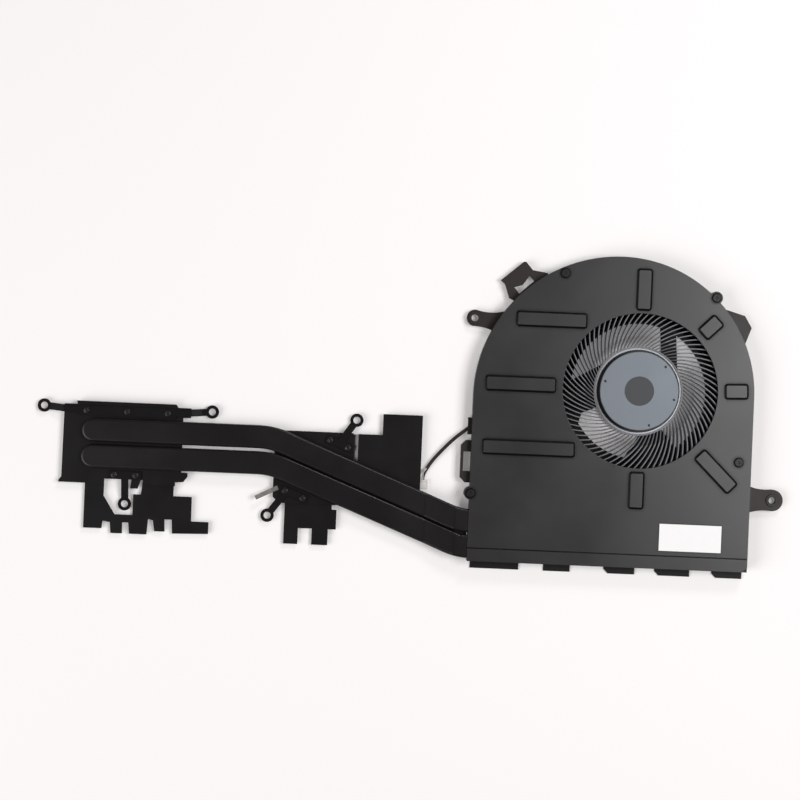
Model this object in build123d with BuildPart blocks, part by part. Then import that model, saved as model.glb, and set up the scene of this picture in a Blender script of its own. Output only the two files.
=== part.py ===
"""Laptop cooling module: a blower fan, two flat heat pipes and two cold-plate blocks.

The origin is on the fan's spin axis, on the underside of the fan. X runs along the module,
towards the fan's free side. Y runs away from the fan's outlet. Z points up out of the laptop.
"""
from build123d import *
from math import atan2, cos, degrees, hypot, radians, sin, sqrt, tan
import os

os.makedirs("parts", exist_ok=True)

# Heights of the fan
base_t = 0.5            # stamped base plate
cover_z = 6.0           # underside of the cover
cover_t = 0.4           # stamped cover
rib_h = 0.5             # how far the cover's ribs stand up
rib_draft = 55          # slope of the ribs' walls, in degrees
label_t = 0.1

# Outline of the fan, two arcs that meet at the top
volute_x = -8.0         # both arcs are centred on this line
volute_top = 48.6       # highest point of the outline
volute_gap = 13.1       # what the arc on the free side adds to the impeller's radius
volute_growth = 3.0     # what the arc towards the heat pipes adds to that
outlet_y = -64.4        # straight edge at the outlet
wall_t = 1.4            # moulded wall

# Impeller and inlet
inlet_r = 28.25         # hole in the cover
impeller_r = 36.4
blade_count = 77
blade_t = 0.35
blade_knee_r = 24.0     # a blade is an arc through this radius
blade_knee_sweep = 18.5  # how far the blade trails there, in degrees
blade_tip_sweep = 40.0  # how far it trails at its tip
blade_gap = 0.5         # running gap under the blades
blade_top = 5.2         # top of the blades
blade_throat_r = 20.0   # the blades come down to the hub ring inside this radius
hub_ring_w = 0.6        # moulded ring that carries the blades
hub_ring_h = 0.6
tip_ring_w = 0.8        # ring that ties the blades near their tips
tip_ring_t = 0.4
tip_ring_inset = 0.6

# Rotor and motor
cup_r = 14.4
cup_t = 0.4
cup_top = 4.3
cup_bottom = 1.0
cup_foot_w = 1.4        # flange turned out at the foot of the cup
cup_foot_t = 0.2
cup_lip_w = 0.6         # raised edge of that flange
cup_lip_h = 0.3
cup_edge_r = 0.3
dimple_r = 0.45         # balancing marks on the cup
dimple_depth = 0.15
dimple_place_r = 13.0
dimple_angles = (45.0, 166.0, 288.0, 348.0)
centre_disc_r = 5.35
centre_disc_t = 0.1
magnet_t = 1.3
magnet_h = 2.2
air_gap = 0.4
shaft_r = 1.0
shaft_play = 0.03       # between the shaft and its sleeve
shaft_lift = 0.08       # between the shaft and its thrust pad
sleeve_t = 0.9
housing_t = 0.7
housing_h = 2.9
housing_flange_r = 5.4
housing_flange_t = 0.4
thrust_pad_t = 0.3
tooth_count = 9
tooth_w = 1.6
tooth_hub_t = 1.6
tooth_tip_t = 1.2
core_z = 1.5            # underside of the stator core
core_h = 1.1
coil_t = 0.45
coil_inset = 0.4        # gap from a coil to the core's hub and tips
board_r = 12.0
board_t = 0.3

# Windows in the base plate, between three arms
window_in_r = 14.0
window_out_r = 24.8
top_arm_x = 11.0
top_arm_w = 5.8
top_arm_lean = 4.0      # in degrees

# Fins
fin_pitch = 1.45
fin_t = 0.2
fin_skin = 0.2
fin_inset = 0.8         # from the outlet edge to the fins
fin_depth = 18.0

# Heat pipes
pipe_w = 8.5
pipe_t = 2.0
pipe_round = 0.9
pipe_bend_r = 25.0
pipe_left_x = -203.0
pipe_bend_left_x = -133.4
pipe_bend_right_x = -63.6
pipe_right_x = 36.0
upper_pipe_left_y = -22.45
upper_pipe_right_y = -49.9
lower_pipe_left_y = -32.0
lower_pipe_right_y = -59.3
rise_start_x = -76.5    # the pipes step up to the fan between these two places
rise_end_x = -65.5
rise_round = 6.0

# Cold-plate blocks
copper_t = 1.0
copper_corner = 1.0
pedestal_t = 0.5        # raised contact face under the copper
carrier_t = 0.8         # black carrier plate between the copper and the pipes
sheet_t = 0.5           # thin side sheets
leaf_t = 0.5            # spring leaves
ring_z = 1.0            # underside of the rings of the spring leaves
ring_r = 2.45
ring_hole_r = 1.3
arm_w = 2.6
rivet_r = 0.6
rivet_head_r = 1.1
rivet_head_t = 0.4

# Processor block, named by its middle
cpu_x = -186.7
cpu_copper = (26.0, 18.4)
cpu_pedestal = (20.0, 12.0)
cpu_copper_y = -27.2
cpu_top_ring_y = -14.2
cpu_ring_reach = 30.85  # from the middle to either top ring
cpu_leaf_y = -15.4
cpu_leaf_w = 3.6
cpu_leaf_half = 17.8
cpu_rivet_step = 14.9
cpu_low_ring_y = -49.2
cpu_low_rivet_y = -38.6
cpu_low_rivet_step = 4.0
cpu_plate_left = -209.9
cpu_plate_right = -166.3
cpu_tab_right = -163.5  # tab of the carrier plate under the right arm
cpu_tab_bottom = -16.8
cpu_plate_top = -12.0
cpu_plate_bottom = -42.0

# Graphics block
gpu_left = -132.4
gpu_right = -103.6
gpu_top = -19.8
gpu_bottom = -46.4
gpu_copper = (24.0, 20.0)
gpu_pedestal = (16.0, 13.0)
gpu_corner = 2.2        # cut off the carrier plate under the lower arm
gpu_upper_ring = (-102.7, -15.0)
gpu_upper_bar = (-108.8, -23.9)
gpu_lower_ring = (-134.2, -51.2)
gpu_lower_bar = (-124.6, -43.1)
gpu_lower_root = (-127.3, -42.0)
gpu_bar_l = 10.5
gpu_bar_w = 3.0
gpu_rivet_step = 3.5
side_sheet_left = -101.8
side_sheet_right = -78.5
side_sheet_top = -12.3
side_sheet_step = -20.0
side_sheet_step_x = -93.0
side_tongue_top = -20.2
side_tongue_left = -105.0
side_tongue_slope = 1.6

# Screws of the cover and the ears of the frame
screw_r = 0.8
screw_head_r = 1.5
screw_head_t = 0.5
screw_l = 3.5
boss_r = 2.35
screw_right_angle = 46.3    # on the arc on the free side
screw_right_out = 0.15      # outside that arc
screw_left_angle = 114.7    # on the arc towards the heat pipes
screw_left_in = 2.3         # inside that arc
screw_free_in = 4.7         # inside the straight wall on the free side
screw_free_y = -24.5
screw_pipe_in = 0.3         # inside the straight wall at the heat pipes
screw_pipe_y = -39.7
ear_hole_r = 1.3
ear_t = 1.6
ear_rim_r = 2.3
ear_rim_t = 0.4
left_ear_angle = 151.9      # the left ear lies on a ray of the arc towards the heat pipes
left_ear_out = 7.55
left_ear_r = 3.0
left_ear_neck = 11.0
left_ear_flare = 1.8
right_ear_out = 9.1
right_ear_y = -38.0
right_ear_r = 3.95
right_ear_neck = 9.8
right_ear_flare = 1.4

# Fan cable
cord_r = 0.65
cord_route = (
    (-55.6, -12.0, 1.35),
    (-59.6, -14.2, 1.6),
    (-63.2, -17.3, 1.9),
    (-66.6, -20.0, 2.0),
    (-70.4, -23.9, 1.7),
    (-74.0, -28.0, 1.2),
    (-76.4, -31.6, 0.8),
    (-77.2, -34.2, 0.7),
    (-77.2, -35.8, 0.7),
)
plug_size = (5.6, 3.2, 1.4)
plug_x = -78.5
lead_w = 2.6
lead_t = 0.2
lead_route = ((-11.0, 2.6), (-25.0, -3.0), (-42.0, -5.5), (-53.5, -12.0))

# Heights that follow from the sizes above
cover_top = cover_z + cover_t
fan_pipe_z = cover_z - pipe_t
carrier_z = pedestal_t + copper_t
block_pipe_z = carrier_z + carrier_t
sheet_z = carrier_z - sheet_t
volute_right_r = impeller_r + volute_gap
volute_left_r = volute_right_r + volute_growth
right_arc = (volute_x, volute_top - volute_right_r)
left_arc = (volute_x, volute_top - volute_left_r)
wall_left = volute_x - volute_left_r
wall_right = volute_x + volute_right_r
chamber_left = wall_left + wall_t
chamber_right = wall_right - wall_t
fin_low_y = outlet_y + fin_inset
fin_high_y = fin_low_y + fin_depth
magnet_r = cup_r - cup_t
tooth_r = magnet_r - magnet_t - air_gap
sleeve_r = shaft_r + shaft_play + sleeve_t
housing_r = sleeve_r + housing_t


def polar(radius, angle, centre=(0, 0)):
    """Return the point at a radius and an angle in degrees round a centre."""
    return (centre[0] + radius * cos(radians(angle)), centre[1] + radius * sin(radians(angle)))


screw_places = (
    polar(volute_right_r + screw_right_out, screw_right_angle, right_arc),
    (wall_right - screw_free_in, screw_free_y),
    polar(volute_left_r - screw_left_in, screw_left_angle, left_arc),
    (wall_left + screw_pipe_in, screw_pipe_y),
)
left_ear = polar(volute_left_r + left_ear_out, left_ear_angle, left_arc)
right_ear = (wall_right + right_ear_out, right_ear_y)


def fan_outline(inset, low_y):
    """Return the face inside the fan's outline, inset from its edge, down to low_y."""
    left = wall_left + inset
    right = wall_right - inset
    with BuildSketch() as outline:
        with BuildLine():
            Polyline((left, left_arc[1]), (left, low_y), (right, low_y), (right, right_arc[1]))
            CenterArc(right_arc, volute_right_r - inset, 0, 90)
            CenterArc(left_arc, volute_left_r - inset, 90, 90)
        make_face()
    return outline.sketch


# Base plate, with its inlet windows and the tabs at the outlet
tab_reach = 3.0
tab_chamfer = 1.6
tab_spans = ((-59.1, -41.2), (-32.1, -22.3), (-9.9, 1.5), (8.8, 21.7), (29.8, 40.9))
left_arm = ((-13.0, 9.7), (-26.0, 2.3), (-26.0, -16.0), (-21.7, -14.2), (-20.4, -8.9), (-13.0, -5.8))
low_arm = ((3.0, -13.0), (-5.0, -26.0), (17.0, -24.0), (8.0, -12.0))

with BuildPart() as base_plate:
    with BuildSketch():
        add(fan_outline(0, outlet_y))
        for start, end in tab_spans:
            middle = (start + end) / 2
            with Locations((middle, outlet_y - tab_reach / 2)):
                Rectangle(end - start, tab_reach)
    extrude(amount=base_t)
    with BuildSketch():
        Circle(window_out_r)
        Circle(window_in_r, mode=Mode.SUBTRACT)
        with Locations((top_arm_x, window_out_r / 2)):
            Rectangle(top_arm_w, window_out_r, rotation=top_arm_lean, mode=Mode.SUBTRACT)
        for arm in (left_arm, low_arm):
            with BuildLine():
                Polyline(*arm, close=True)
            make_face(mode=Mode.SUBTRACT)
    extrude(amount=base_t, mode=Mode.SUBTRACT)
    tab_corners = [
        edge for edge in base_plate.edges().filter_by(Axis.Z)
        if edge.center().Y < outlet_y - tab_reach / 2
        and any(abs(edge.center().X - start) < 0.01 for start, _ in tab_spans[2:])
    ]
    chamfer(tab_corners, length=tab_chamfer)
base_plate.part.label = "fan_base_plate"
export_step(base_plate.part, "parts/fan_base_plate.step")

# Moulded frame: wall, tongue, bosses, ears, hook and cable bracket
tongue_gap = 2.2        # from the impeller to the tongue
tongue_angle = -43      # where the tongue ends, seen from the spin axis
tongue_top = 4.0
tongue_low = -37.0
# The hook and the side tab are drawn from a point on the outline's arcs
hook_t = 2.0
hook_angle = 130.7
hook = ((-3.6, -5.2), (-6.5, -3.7), (-8.2, 1.3), (-9.8, 2.7), (-1.7, 9.7),
        (-0.8, 9.7), (1.7, 6.8), (7.4, 5.9), (6.4, 0.3))
hook_slot = ((0.7, 4.8), (2.4, 2.9), (-3.0, -2.0), (-4.9, 0.3), (-1.7, 1.3))
side_tab_angle = 28.4
side_tab = ((-5.5, 8.8), (2.4, 6.5), (5.0, 2.2), (2.2, -5.6), (-1.5, -2.6))
bracket_reach = 3.7
bracket_low = -36.0
bracket_high = -20.5
bracket_slot_low = -31.9
bracket_slot_high = -24.7
bracket_wall = 1.0
bracket_t = 3.0
bracket_chamfer = 1.8
clip_reach = 1.5
clip_low = -18.4
clip_high = -12.2
cable_slot_low = -17.4
cable_slot_high = -12.9
cable_slot_h = 2.1

left_ear_heading = -8.7  # direction of the left ear's neck, in degrees
right_ear_heading = 180


def ear_plan(place, radius, heading, neck, flare):
    """Return the plan of an ear: a disc on a neck that flares towards the wall."""
    waist = polar(neck / 2, heading, place)
    root = polar(neck, heading, place)
    with BuildSketch() as plan:
        with Locations(place):
            Circle(radius)
        with BuildLine():
            upper = ThreePointArc(
                polar(radius, heading + 90, place),
                polar(radius, heading + 90, waist),
                polar(radius + flare, heading + 90, root),
            )
            lower = ThreePointArc(
                polar(radius, heading - 90, place),
                polar(radius, heading - 90, waist),
                polar(radius + flare, heading - 90, root),
            )
            Line(upper @ 0, lower @ 0)
            Line(upper @ 1, lower @ 1)
        make_face()
    return plan.sketch


with BuildPart() as frame:
    with BuildSketch(Plane.XY.offset(base_t)):
        add(fan_outline(0, outlet_y))
        for place in screw_places:
            with Locations(place):
                Circle(boss_r)
    extrude(amount=cover_z - base_t)
    # Ears, side tab and hook stand out of the wall near its foot
    with BuildSketch(Plane.XY.offset(base_t)):
        add(ear_plan(left_ear, left_ear_r, left_ear_heading, left_ear_neck, left_ear_flare))
        add(ear_plan(right_ear, right_ear_r, right_ear_heading, right_ear_neck, right_ear_flare))
    extrude(amount=ear_t)
    side_tab_place = Plane((*polar(volute_right_r, side_tab_angle, right_arc), base_t))
    with BuildSketch(side_tab_place):
        with BuildLine():
            Polyline(*side_tab, close=True)
        make_face()
    extrude(amount=ear_t)
    with BuildSketch(Plane.XY.offset(base_t + ear_t)):
        with Locations(left_ear, right_ear):
            Circle(ear_rim_r)
    extrude(amount=ear_rim_t)
    hook_place = Plane((*polar(volute_left_r, hook_angle, left_arc), base_t))
    with BuildSketch(hook_place):
        with BuildLine():
            Polyline(*hook, close=True)
        make_face()
        with BuildLine():
            Polyline(*hook_slot, close=True)
        make_face(mode=Mode.SUBTRACT)
    extrude(amount=hook_t)
    with BuildSketch(Plane.XY.offset(base_t)):
        with BuildLine():
            Polyline(
                (chamber_left, bracket_low),
                (wall_left - bracket_reach + bracket_chamfer, bracket_low),
                (wall_left - bracket_reach, bracket_low + bracket_chamfer),
                (wall_left - bracket_reach, bracket_high - bracket_chamfer),
                (wall_left - bracket_reach + bracket_chamfer, bracket_high),
                (chamber_left, bracket_high),
                close=True,
            )
        make_face()
        slot_w = bracket_reach - bracket_wall
        with Locations((wall_left - slot_w / 2, (bracket_slot_low + bracket_slot_high) / 2)):
            Rectangle(slot_w, bracket_slot_high - bracket_slot_low, mode=Mode.SUBTRACT)
        with Locations((wall_left - clip_reach / 2, (clip_low + clip_high) / 2)):
            Rectangle(clip_reach, clip_high - clip_low)
    extrude(amount=bracket_t)
    # Open the blower chamber and the outlet
    with BuildSketch(Plane.XY.offset(base_t)):
        add(fan_outline(wall_t, outlet_y - 1))
    extrude(amount=cover_z - base_t, mode=Mode.SUBTRACT)
    with BuildSketch(Plane.XY.offset(base_t)):
        with BuildLine():
            Polyline(
                (chamber_right, tongue_top),
                (chamber_right, tongue_low),
                polar(impeller_r + tongue_gap, tongue_angle),
                close=True,
            )
        make_face()
        Circle(impeller_r + tongue_gap, mode=Mode.SUBTRACT)
    extrude(amount=cover_z - base_t)
    # Bosses that stand inside the chamber, and every screw hole
    with BuildSketch(Plane.XY.offset(base_t)):
        for place in screw_places:
            with Locations(place):
                Circle(boss_r)
    extrude(amount=cover_z - base_t)
    with Locations(*[(x, y, cover_z) for x, y in screw_places]):
        Hole(screw_r, depth=screw_l)
    with Locations(*[(x, y, base_t + ear_t + ear_rim_t) for x, y in (left_ear, right_ear)]):
        Hole(ear_hole_r, depth=ear_t + ear_rim_t)
    # The pipes come in over a low stretch of the wall, and the cable through a slot
    with BuildSketch(Plane.XY.offset(fan_pipe_z)):
        with Locations((wall_left + wall_t / 2, (outlet_y - 1 + fin_high_y) / 2)):
            Rectangle(wall_t, fin_high_y - outlet_y + 2)
    extrude(amount=pipe_t, mode=Mode.SUBTRACT)
    with BuildSketch(Plane.XY.offset(base_t)):
        with Locations((wall_left, (cable_slot_low + cable_slot_high) / 2)):
            Rectangle(2 * (wall_t + clip_reach), cable_slot_high - cable_slot_low)
    extrude(amount=cable_slot_h, mode=Mode.SUBTRACT)
frame.part.label = "fan_frame"
export_step(frame.part, "parts/fan_frame.step")

# Stamped cover with its inlet and raised ribs
rib_w = 5.8
rib_corner = 1.2
crease_y = outlet_y + 4.8
crease_w = 0.4
crease_depth = 0.12
cover_corner = 1.8
# Ribs along X: their place in Y, their gap to the wall and their gap to the inlet
side_ribs = ((24.6, 14.3, 6.3), (0.8, 4.0, 2.3), (-22.4, 3.7, 5.6))
# Ribs along a ray of the inlet: the ray's angle, their gap to the inlet and their length
ray_ribs = ((90, 0.95, 15.4), (44.4, 2.05, 8.6), (2, 2.35, 8.8), (-44.5, 2.85, 18.0), (-90, 1.1, 13.7))
ribs = []
for rib_y, wall_gap, inlet_gap in side_ribs:
    rib_start = wall_left + wall_gap
    rib_end = -sqrt(inlet_r ** 2 - rib_y ** 2) - inlet_gap
    ribs.append(((rib_start + rib_end) / 2, rib_y, rib_end - rib_start, 0))
for rib_angle, inlet_gap, rib_length in ray_ribs:
    rib_x, rib_y = polar(inlet_r + inlet_gap + rib_length / 2, rib_angle)
    ribs.append((rib_x, rib_y, rib_length, rib_angle))

with BuildPart() as cover:
    with BuildSketch(Plane.XY.offset(cover_z)):
        add(fan_outline(0, outlet_y))
        for place in screw_places:
            with Locations(place):
                Circle(boss_r)
    extrude(amount=cover_t)
    corner_edges = [
        edge for edge in cover.edges().filter_by(Axis.Z)
        if edge.center().X > wall_right - 0.01 and edge.center().Y < outlet_y + 0.01
    ]
    chamfer(corner_edges, length=cover_corner)
    for x, y, length, angle in ribs:
        with BuildSketch(Plane.XY.offset(cover_top)):
            with Locations((x, y)):
                RectangleRounded(length, rib_w, rib_corner, rotation=angle)
        extrude(amount=rib_h, taper=rib_draft)
        # Each rib is pressed from below, so it is hollow underneath
        with BuildSketch(Plane.XY.offset(cover_z)):
            with Locations((x, y)):
                RectangleRounded(length - 2 * cover_t, rib_w - 2 * cover_t,
                                 rib_corner - cover_t / 2, rotation=angle)
        extrude(amount=rib_h, taper=rib_draft, mode=Mode.SUBTRACT)
    with Locations((0, 0, cover_top)):
        Hole(inlet_r, depth=cover_t)
    with Locations(*[(x, y, cover_top) for x, y in screw_places]):
        Hole(screw_r, depth=cover_t)
    with BuildSketch(Plane.XY.offset(cover_top)):
        with Locations(((wall_left + wall_right) / 2, crease_y)):
            Rectangle(wall_right - wall_left, crease_w)
    extrude(amount=-crease_depth, mode=Mode.SUBTRACT)
cover.part.label = "fan_cover"
export_step(cover.part, "parts/fan_cover.step")

# Screws that hold the cover
with BuildPart() as cover_screws:
    with BuildSketch(Plane.XY.offset(cover_top)):
        with Locations(*screw_places):
            Circle(screw_head_r)
    extrude(amount=screw_head_t)
    with BuildSketch(Plane.XY.offset(cover_z - screw_l)):
        with Locations(*screw_places):
            Circle(screw_r)
    extrude(amount=screw_l + cover_t)
cover_screws.part.label = "cover_screws"
export_step(cover_screws.part, "parts/cover_screws.step")

# Blank paper label on the cover
label_size = (22.6, 9.8)
label_place = (wall_right - 21.2, outlet_y + 11.6)
with BuildPart() as label:
    with BuildSketch(Plane.XY.offset(cover_top)):
        with Locations(label_place):
            Rectangle(*label_size)
    extrude(amount=label_t)
label.part.label = "fan_label"
export_step(label.part, "parts/fan_label.step")

# Fins at the outlet, folded sheets that make a row of open channels
fin_left = chamber_left
fin_right = chamber_right
channel_count = int((fin_right - fin_left - fin_t) / fin_pitch)
channel_h = fan_pipe_z - base_t - 2 * fin_skin
with BuildPart() as fin_stack:
    with BuildSketch(Plane.XY.offset(base_t)):
        with Locations(((fin_left + fin_right) / 2, (fin_low_y + fin_high_y) / 2)):
            Rectangle(fin_right - fin_left, fin_depth)
    extrude(amount=fan_pipe_z - base_t)
    outlet_face = Plane(((fin_left + fin_right) / 2, fin_low_y, (base_t + fan_pipe_z) / 2),
                        x_dir=(1, 0, 0), z_dir=(0, -1, 0))
    with BuildSketch(outlet_face):
        with GridLocations(fin_pitch, channel_h, channel_count, 1):
            Rectangle(fin_pitch - fin_t, channel_h)
    extrude(amount=-fin_depth, mode=Mode.SUBTRACT)
fin_stack.part.label = "fin_stack"
export_step(fin_stack.part, "parts/fin_stack.step")


def heat_pipe(left_y, right_y):
    """Return a flat pipe, its plan cut by its side view, with round edges."""
    with BuildPart() as pipe:
        with BuildSketch():
            with BuildLine():
                FilletPolyline(
                    (pipe_left_x + pipe_w / 2, left_y),
                    (pipe_bend_left_x, left_y),
                    (pipe_bend_right_x, right_y),
                    (pipe_right_x - pipe_w / 2, right_y),
                    radius=pipe_bend_r,
                )
            trace(line_width=pipe_w)
            with Locations((pipe_left_x + pipe_w / 2, left_y),
                           (pipe_right_x - pipe_w / 2, right_y)):
                Circle(pipe_w / 2)
        extrude(amount=cover_z)
        with BuildSketch(Plane.XZ):
            with BuildLine():
                low = FilletPolyline(
                    (pipe_left_x - 1, block_pipe_z),
                    (rise_start_x, block_pipe_z),
                    (rise_end_x, fan_pipe_z),
                    (pipe_right_x + 1, fan_pipe_z),
                    radius=rise_round,
                )
                high = FilletPolyline(
                    (pipe_left_x - 1, block_pipe_z + pipe_t),
                    (rise_start_x, block_pipe_z + pipe_t),
                    (rise_end_x, fan_pipe_z + pipe_t),
                    (pipe_right_x + 1, fan_pipe_z + pipe_t),
                    radius=rise_round,
                )
                Line(low @ 0, high @ 0)
                Line(low @ 1, high @ 1)
            make_face()
        extrude(amount=-outlet_y, mode=Mode.INTERSECT)
        rim = pipe.edges().filter_by(lambda edge: edge.length > 3)
        fillet(rim, radius=pipe_round)
    return pipe.part


upper_pipe = heat_pipe(upper_pipe_left_y, upper_pipe_right_y)
upper_pipe.label = "heat_pipe_upper"
export_step(upper_pipe, "parts/heat_pipe_upper.step")

lower_pipe = heat_pipe(lower_pipe_left_y, lower_pipe_right_y)
lower_pipe.label = "heat_pipe_lower"
export_step(lower_pipe, "parts/heat_pipe_lower.step")


# Impeller: thin blades that trail the spin, on a ring round the rotor cup
cup_foot_r = cup_r + cup_foot_w
hub_r = cup_foot_r + hub_ring_w
blade_low = base_t + blade_gap
hub_top = blade_low + hub_ring_h

with BuildSketch() as blade_plan:
    with BuildLine():
        ThreePointArc(
            polar(hub_r - hub_ring_w / 2, 0),
            polar(blade_knee_r, -blade_knee_sweep),
            polar(impeller_r, -blade_tip_sweep),
        )
    trace(line_width=blade_t)

with BuildPart() as impeller:
    with BuildSketch(Plane.XY.offset(blade_low)):
        with PolarLocations(0, blade_count):
            add(blade_plan.sketch)
    extrude(amount=blade_top - blade_low)
    # The blades' upper edges come down to the hub ring
    with BuildSketch(Plane.XZ):
        with BuildLine():
            Polyline(
                (cup_r / 2, hub_top),
                (hub_r, hub_top),
                (blade_throat_r, blade_top),
                (blade_throat_r, cover_z),
                (cup_r / 2, cover_z),
                close=True,
            )
        make_face()
    revolve(axis=Axis.Z, mode=Mode.SUBTRACT)
    with BuildSketch(Plane.XY.offset(blade_low)):
        Circle(hub_r)
        Circle(cup_foot_r, mode=Mode.SUBTRACT)
    extrude(amount=hub_ring_h)
    with BuildSketch(Plane.XY.offset(blade_low)):
        Circle(impeller_r - tip_ring_inset)
        Circle(impeller_r - tip_ring_inset - tip_ring_w, mode=Mode.SUBTRACT)
    extrude(amount=tip_ring_t)
impeller.part.label = "impeller"
export_step(impeller.part, "parts/impeller.step")

# Steel rotor cup, its foot pressed into the impeller's hub ring
with BuildPart() as cup:
    with BuildSketch(Plane.XY.offset(cup_bottom)):
        Circle(cup_r)
    extrude(amount=cup_top - cup_bottom)
    fillet(cup.faces().sort_by(Axis.Z)[-1].edges(), radius=cup_edge_r)
    with BuildSketch(Plane.XY.offset(cup_bottom)):
        Circle(cup_foot_r)
    extrude(amount=cup_foot_t)
    with BuildSketch(Plane.XY.offset(cup_bottom)):
        Circle(cup_foot_r)
        Circle(cup_foot_r - cup_lip_w, mode=Mode.SUBTRACT)
    extrude(amount=cup_lip_h)
    with BuildSketch(Plane.XY.offset(cup_bottom)):
        Circle(magnet_r)
    extrude(amount=cup_top - cup_t - cup_bottom, mode=Mode.SUBTRACT)
    with BuildSketch(Plane.XY.offset(cup_top)):
        with Locations(*[polar(dimple_place_r, angle) for angle in dimple_angles]):
            Circle(dimple_r)
    extrude(amount=-dimple_depth, mode=Mode.SUBTRACT)
    with Locations((0, 0, cup_top)):
        Hole(shaft_r, depth=cup_t)
cup.part.label = "rotor_cup"
export_step(cup.part, "parts/rotor_cup.step")

with BuildPart() as magnet:
    with BuildSketch(Plane.XY.offset(cup_bottom)):
        Circle(magnet_r)
        Circle(magnet_r - magnet_t, mode=Mode.SUBTRACT)
    extrude(amount=magnet_h)
magnet.part.label = "magnet_ring"
export_step(magnet.part, "parts/magnet_ring.step")

with BuildPart() as shaft:
    with BuildSketch(Plane.XY.offset(base_t + thrust_pad_t + shaft_lift)):
        Circle(shaft_r)
    extrude(amount=cup_top - base_t - thrust_pad_t - shaft_lift)
shaft.part.label = "rotor_shaft"
export_step(shaft.part, "parts/rotor_shaft.step")

with BuildPart() as centre_disc:
    with BuildSketch(Plane.XY.offset(cup_top)):
        Circle(centre_disc_r)
    extrude(amount=centre_disc_t)
centre_disc.part.label = "centre_disc"
export_step(centre_disc.part, "parts/centre_disc.step")

# Bearing, on the middle of the base plate
with BuildPart() as bearing_housing:
    with BuildSketch(Plane.XY.offset(base_t)):
        Circle(housing_flange_r)
    extrude(amount=housing_flange_t)
    with BuildSketch(Plane.XY.offset(base_t)):
        Circle(housing_r)
    extrude(amount=housing_h)
    with BuildSketch(Plane.XY.offset(base_t)):
        Circle(sleeve_r)
    extrude(amount=housing_h, mode=Mode.SUBTRACT)
bearing_housing.part.label = "bearing_housing"
export_step(bearing_housing.part, "parts/bearing_housing.step")

with BuildPart() as bearing_sleeve:
    with BuildSketch(Plane.XY.offset(base_t + thrust_pad_t)):
        Circle(sleeve_r)
        Circle(shaft_r + shaft_play, mode=Mode.SUBTRACT)
    extrude(amount=housing_h - thrust_pad_t)
bearing_sleeve.part.label = "bearing_sleeve"
export_step(bearing_sleeve.part, "parts/bearing_sleeve.step")

with BuildPart() as thrust_pad:
    with BuildSketch(Plane.XY.offset(base_t)):
        Circle(sleeve_r)
    extrude(amount=thrust_pad_t)
thrust_pad.part.label = "thrust_pad"
export_step(thrust_pad.part, "parts/thrust_pad.step")

# Stator: a stack of toothed plates with a coil on each tooth
tooth_gap = 1.1
tooth_in = housing_r + tooth_hub_t
tooth_out = tooth_r - tooth_tip_t
with BuildPart() as core:
    with BuildSketch(Plane.XY.offset(core_z)):
        Circle(tooth_r)
        with PolarLocations((tooth_r + tooth_out) / 2, tooth_count, start_angle=180 / tooth_count):
            Rectangle(2 * tooth_tip_t, tooth_gap, mode=Mode.SUBTRACT)
        with BuildSketch(mode=Mode.SUBTRACT):
            Circle(tooth_out)
            Circle(tooth_in, mode=Mode.SUBTRACT)
            with PolarLocations((tooth_in + tooth_out) / 2, tooth_count):
                Rectangle(tooth_r, tooth_w, mode=Mode.SUBTRACT)
        Circle(housing_r, mode=Mode.SUBTRACT)
    extrude(amount=core_h)
core.part.label = "stator_core"
export_step(core.part, "parts/stator_core.step")

coil_l = tooth_out - tooth_in - 2 * coil_inset
with BuildPart() as coils:
    with Locations((0, 0, core_z + core_h / 2)):
        with PolarLocations((tooth_in + tooth_out) / 2, tooth_count):
            Box(coil_l, tooth_w + 2 * coil_t, core_h + 2 * coil_t)
            Box(coil_l, tooth_w, core_h, mode=Mode.SUBTRACT)
coils.part.label = "stator_coils"
export_step(coils.part, "parts/stator_coils.step")

with BuildPart() as board:
    with BuildSketch(Plane.XY.offset(base_t)):
        Circle(board_r)
        Circle(housing_flange_r, mode=Mode.SUBTRACT)
    extrude(amount=board_t)
board.part.label = "motor_board"
export_step(board.part, "parts/motor_board.step")

# Flat lead from the motor board to the cable
with BuildPart() as lead:
    with BuildSketch(Plane.XY.offset(base_t)):
        with BuildLine():
            FilletPolyline(*lead_route, radius=lead_w)
        trace(line_width=lead_w)
        Circle(board_r, mode=Mode.SUBTRACT)
    extrude(amount=lead_t)
lead.part.label = "motor_lead"
export_step(lead.part, "parts/motor_lead.step")

# Fan cable, straight runs joined by arcs as large as the runs allow
cord_share = 0.45       # how much of a run an arc may take at each end
runs = [Vector(*end) - Vector(*start) for start, end in zip(cord_route, cord_route[1:])]
cord_radii = [
    cord_share * min(before.length, after.length) / tan(radians(before.get_angle(after) / 2))
    for before, after in zip(runs, runs[1:])
]
with BuildPart() as cable:
    with BuildLine() as cable_path:
        FilletPolyline(*cord_route, radius=cord_radii)
    with BuildSketch(Plane(origin=cable_path.line @ 0, z_dir=cable_path.line % 0)):
        Circle(cord_r)
    sweep(path=cable_path.line)
cable.part.label = "fan_cable"
export_step(cable.part, "parts/fan_cable.step")
cord_length = sum(edge.length for edge in cable_path.edges())
print("cord length", round(cord_length, 2))

with BuildPart() as plug:
    plug_y = cord_route[-1][1] - plug_size[1] / 2
    with Locations((plug_x, plug_y, plug_size[2] / 2)):
        Box(*plug_size)
plug.part.label = "fan_plug"
export_step(plug.part, "parts/fan_plug.step")


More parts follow.
